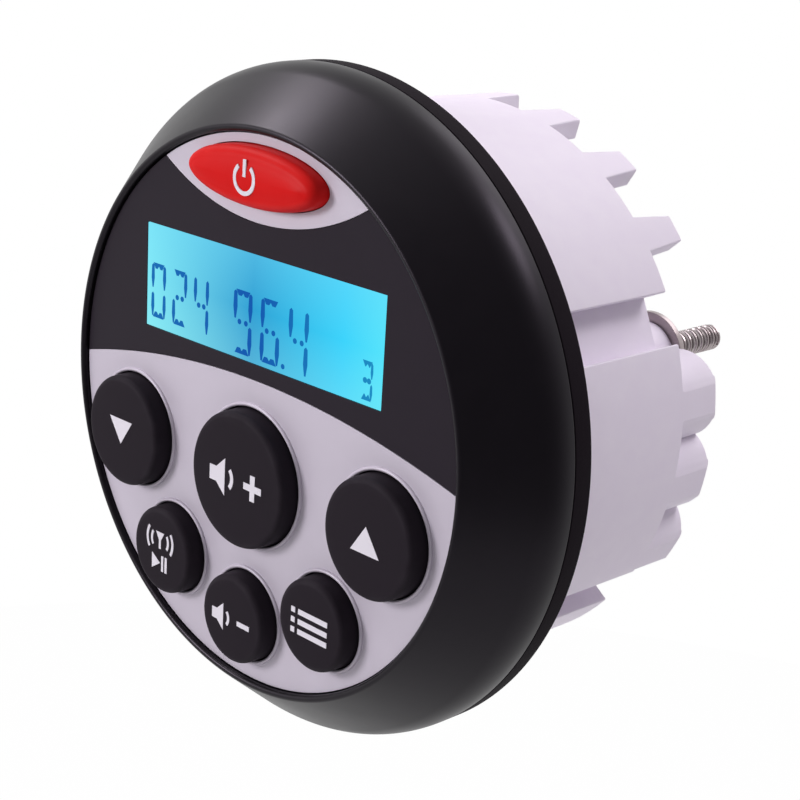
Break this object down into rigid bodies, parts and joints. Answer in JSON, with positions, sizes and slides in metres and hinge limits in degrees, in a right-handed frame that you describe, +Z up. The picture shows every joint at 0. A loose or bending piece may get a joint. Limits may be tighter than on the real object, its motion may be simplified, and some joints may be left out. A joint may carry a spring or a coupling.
{
  "type": "marine stereo",
  "caption": "Round gauge-hole marine stereo: domed black bezel, blue display, push keys on a silver face, finned cast body and rear mounting studs.",
  "frame": {"origin": "on the body's axis, in the plane of the panel that the gasket presses on", "axes": "+Z up, -Y out of the front face towards the person, +Y into the panel, +X to the right of a person who faces the stereo"},
  "size_m": [0.098, 0.0701, 0.098],
  "materials": {
    "bezel_black": "satin moulded black",
    "face_dark": "smooth dark grey",
    "face_silver": "satin silver film",
    "window_clear": "clear, flat",
    "display_blue": "lit cyan display with dark blue segments",
    "light_guide": "milky white",
    "tin_plate": "bright tin plate",
    "key_black": "soft-touch black",
    "key_red": "satin red",
    "key_rubber": "plain silicone",
    "seal_rubber": "matt black rubber",
    "board_green": "green solder mask",
    "chip_black": "moulded black",
    "socket_ivory": "plain ivory nylon",
    "pad_grey": "plain grey pad",
    "capacitor_sleeve": "dark blue sleeve",
    "coil_copper": "enamelled copper",
    "housing_cast": "light silver cast finish",
    "fastener_steel": "bright stainless"
  },
  "bodies": {
    "chassis": {"front_bezel": "bezel_black", "face_plate": "face_dark", "upper_overlay": "face_dark", "lower_overlay": "face_silver", "power_overlay": "face_silver", "display_window": "window_clear", "display_glass": "display_blue", "display_backlight": "light_guide", "display_frame": "tin_plate", "tuner_can": "tin_plate", "keypad_membrane": "key_rubber", "power_dome": "key_rubber", "volume_up_dome": "key_rubber", "volume_down_dome": "key_rubber", "seek_up_dome": "key_rubber", "seek_down_dome": "key_rubber", "play_dome": "key_rubber", "mode_dome": "key_rubber", "display_connector_strip": "seal_rubber", "housing_seal": "seal_rubber", "panel_gasket": "seal_rubber", "cable_grommet": "seal_rubber", "control_board": "board_green", "main_board": "board_green", "controller_chip": "chip_black", "memory_chip": "chip_black", "regulator": "chip_black", "amplifier_chip": "chip_black", "board_link_header": "chip_black", "harness_socket": "socket_ivory", "thermal_pad": "pad_grey", "filter_capacitors": "capacitor_sleeve", "choke_coil": "coil_copper", "rear_housing": "housing_cast", "control_board_screws": "fastener_steel", "main_board_screws": "fastener_steel", "bezel_screws": "fastener_steel", "mounting_studs": "fastener_steel", "stud_washers": "fastener_steel", "stud_nuts": "fastener_steel"},
    "power_key": {"power_button": "key_red"},
    "volume_up_key": {"volume_up_button": "key_black"},
    "volume_down_key": {"volume_down_button": "key_black"},
    "seek_up_key": {"seek_up_button": "key_black"},
    "seek_down_key": {"seek_down_button": "key_black"},
    "play_key": {"play_button": "key_black"},
    "mode_key": {"mode_button": "key_black"}
  },
  "joints": [
    {"name": "power_press", "type": "slide", "parent": "chassis", "child": "power_key", "axis": [0, 1, 0], "range_m": [0, 0.001], "stiffness_N_per_m": 500, "deforming": ["power_dome"]},
    {"name": "volume_up_press", "type": "slide", "parent": "chassis", "child": "volume_up_key", "axis": [0, 1, 0], "range_m": [0, 0.001], "stiffness_N_per_m": 500, "deforming": ["volume_up_dome"]},
    {"name": "volume_down_press", "type": "slide", "parent": "chassis", "child": "volume_down_key", "axis": [0, 1, 0], "range_m": [0, 0.001], "stiffness_N_per_m": 500, "deforming": ["volume_down_dome"]},
    {"name": "seek_up_press", "type": "slide", "parent": "chassis", "child": "seek_up_key", "axis": [0, 1, 0], "range_m": [0, 0.001], "stiffness_N_per_m": 500, "deforming": ["seek_up_dome"]},
    {"name": "seek_down_press", "type": "slide", "parent": "chassis", "child": "seek_down_key", "axis": [0, 1, 0], "range_m": [0, 0.001], "stiffness_N_per_m": 500, "deforming": ["seek_down_dome"]},
    {"name": "play_press", "type": "slide", "parent": "chassis", "child": "play_key", "axis": [0, 1, 0], "range_m": [0, 0.001], "stiffness_N_per_m": 500, "deforming": ["play_dome"]},
    {"name": "mode_press", "type": "slide", "parent": "chassis", "child": "mode_key", "axis": [0, 1, 0], "range_m": [0, 0.001], "stiffness_N_per_m": 500, "deforming": ["mode_dome"]}
  ]
}
